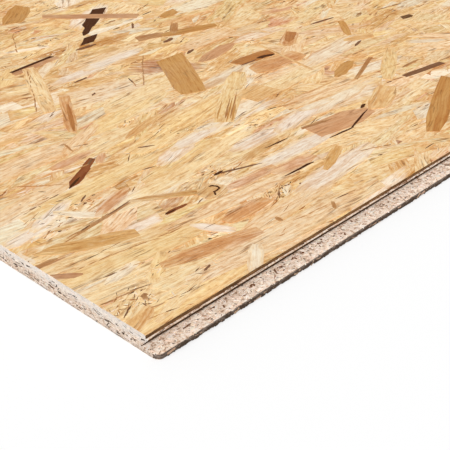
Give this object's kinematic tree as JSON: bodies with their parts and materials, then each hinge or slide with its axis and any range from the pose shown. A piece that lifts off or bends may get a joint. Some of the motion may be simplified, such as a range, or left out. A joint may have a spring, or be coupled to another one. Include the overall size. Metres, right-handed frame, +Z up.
{
  "type": "oriented strand board panel",
  "caption": "Flat panel of pressed wood strands with a grooved and lipped long edge, a matching tongued long edge and square sawn ends, for laying floors, roofs and walls.",
  "frame": {"origin": "middle of the underside of the bounding box", "axes": "+X along the panel's length and its surface strands, +Y across from the grooved edge to the tongued edge, +Z up"},
  "size_m": [2.44, 1.22, 0.018],
  "materials": {
    "osb": "unsanded pressed strands, sawn ends and milled long edges"
  },
  "bodies": {
    "root": {"osb_panel": "osb"}
  },
  "joints": []
}
